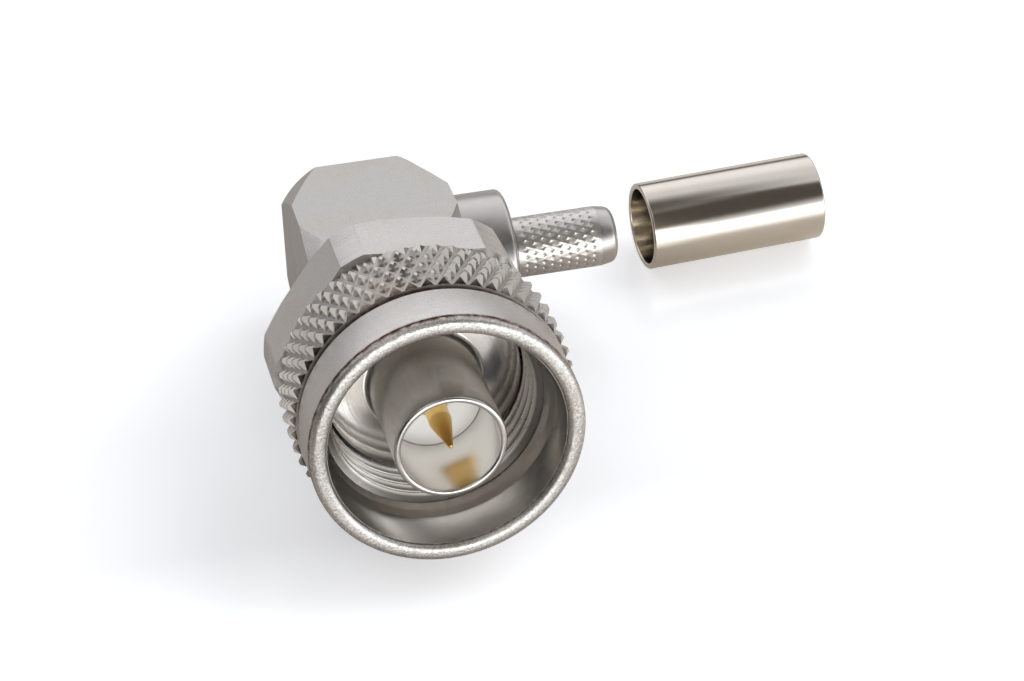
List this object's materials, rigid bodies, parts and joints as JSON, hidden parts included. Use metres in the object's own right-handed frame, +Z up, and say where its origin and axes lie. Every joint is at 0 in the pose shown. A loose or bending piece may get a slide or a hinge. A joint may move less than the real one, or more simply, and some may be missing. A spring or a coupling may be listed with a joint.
{
  "type": "right-angle coaxial plug",
  "caption": "Right-angle coaxial plug with a knurled and hexagonal coupling nut, a crimp stem for the cable and its loose crimp ferrule.",
  "frame": {"origin": "centre of the outer contact's tip, on the coupling axis", "axes": "+X along the cable neck, away from the block; +Z up from the table the plug lies on; +Y level, from the mating face towards the rear of the block"},
  "size_m": [0.0471, 0.0353, 0.0226],
  "materials": {
    "block_nickel": "nickel plated, satin, bead-blasted",
    "contact_nickel": "nickel plated, fine turned",
    "nut_nickel": "nickel plated, satin with a bright diamond knurl",
    "front_ptfe": "turned fluoropolymer, white",
    "pin_gold": "gold plated, polished",
    "liner_ptfe": "turned fluoropolymer, white",
    "disc_ptfe": "turned fluoropolymer, white",
    "cap_nickel": "nickel plated, satin",
    "neck_nickel": "nickel plated, polished collar and knurled stem",
    "ferrule_nickel": "nickel plated, polished"
  },
  "bodies": {
    "plug": {"body_block": "block_nickel", "outer_contact": "contact_nickel", "front_insulator": "front_ptfe", "centre_pin": "pin_gold", "rear_insulator": "liner_ptfe", "cap_insulator": "disc_ptfe", "rear_cap": "cap_nickel", "cable_neck": "neck_nickel", "crimp_ferrule": "ferrule_nickel"},
    "nut": {"coupling_nut": "nut_nickel"}
  },
  "joints": [
    {"name": "nut_spin", "type": "hinge", "parent": "plug", "child": "nut", "pos_m": [0, 0, 0], "axis": [0, -0.974, 0.2265], "continuous": true}
  ]
}
